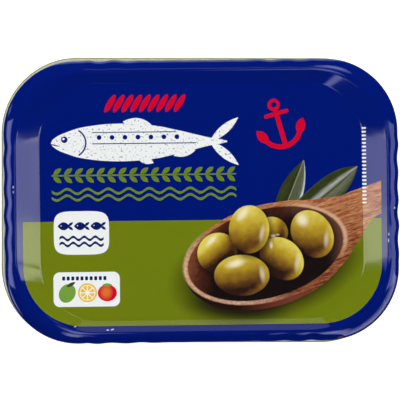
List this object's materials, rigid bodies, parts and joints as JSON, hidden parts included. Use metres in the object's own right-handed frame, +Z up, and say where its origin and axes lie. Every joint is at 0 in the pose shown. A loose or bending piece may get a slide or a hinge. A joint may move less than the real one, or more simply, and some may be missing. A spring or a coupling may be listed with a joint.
{
  "type": "sardine tin",
  "caption": "Shallow closed rectangular fish tin with round corners, printed face up, an easy-open end rolled on below with a pull ring.",
  "frame": {"origin": "middle of the tin's footprint, on the surface it stands on", "axes": "+X along the tin's length, to the right when its printed face is read; +Y towards the upper edge of the print; +Z up, out of the printed face"},
  "size_m": [0.106, 0.0764, 0.022],
  "materials": {
    "blue_enamel": "glossy printed enamel on tinplate",
    "olive_enamel": "glossy olive-green lacquer on tinplate",
    "bare_tinplate": "plain tinplate, lightly brushed"
  },
  "bodies": {
    "root": {"drawn_can": "blue_enamel", "easy_open_end": "olive_enamel", "pull_ring": "bare_tinplate"}
  },
  "joints": []
}
